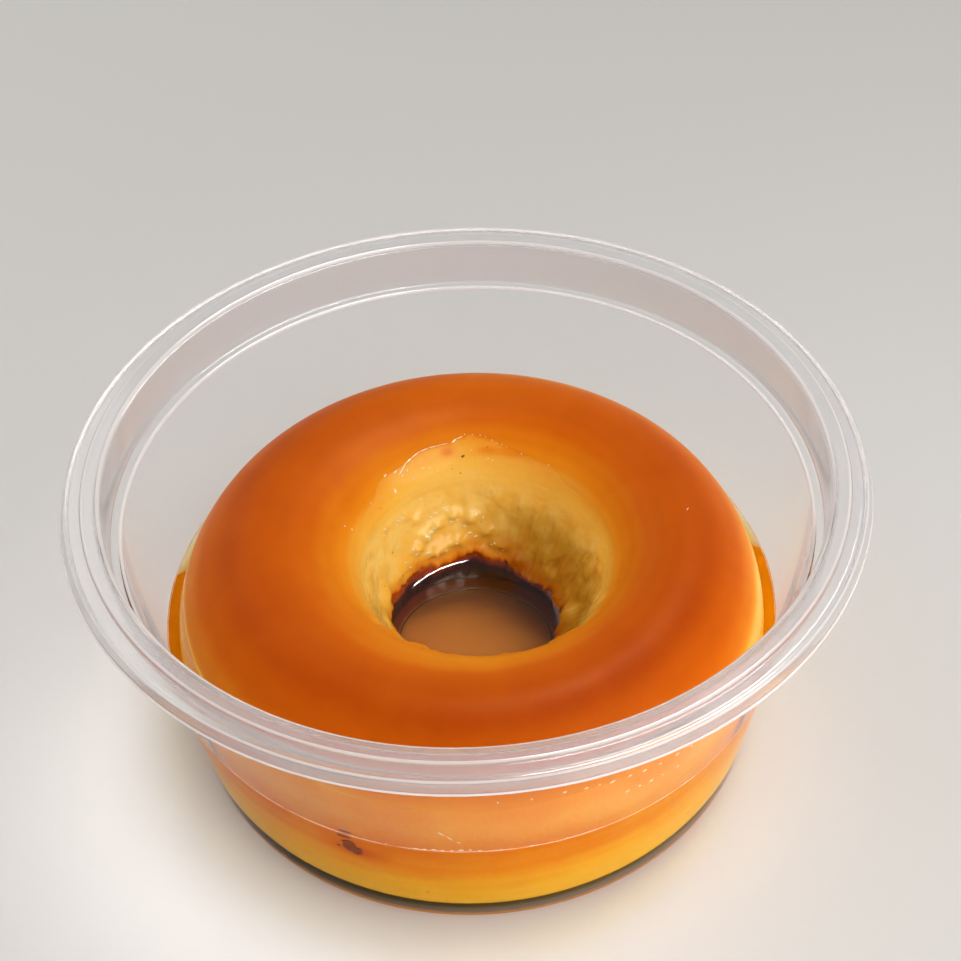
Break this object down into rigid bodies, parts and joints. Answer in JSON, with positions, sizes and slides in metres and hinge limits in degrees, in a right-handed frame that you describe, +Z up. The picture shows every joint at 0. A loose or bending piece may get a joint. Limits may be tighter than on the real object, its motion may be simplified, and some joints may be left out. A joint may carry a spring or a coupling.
{
  "type": "caramel pudding",
  "caption": "Ring-shaped baked custard with a soft caramel top and thin syrup, standing in a clear round tapered bowl with a stepped rim.",
  "frame": {"origin": "centre of the bowl's foot, on the surface that it stands on", "axes": "+Z up along the bowl's axis, +X to the right and -Y towards the viewer"},
  "size_m": [0.145, 0.145, 0.064],
  "materials": {
    "clear_plastic": "clear, slightly milky polypropylene",
    "custard": "moist baked custard",
    "caramel": "caramel-soaked custard skin, satin and moist",
    "syrup": "thin clear caramel syrup"
  },
  "bodies": {
    "root": {"bowl": "clear_plastic", "custard": "custard", "caramel_top": "caramel", "syrup_pool": "syrup", "syrup_ring": "syrup"}
  },
  "joints": []
}
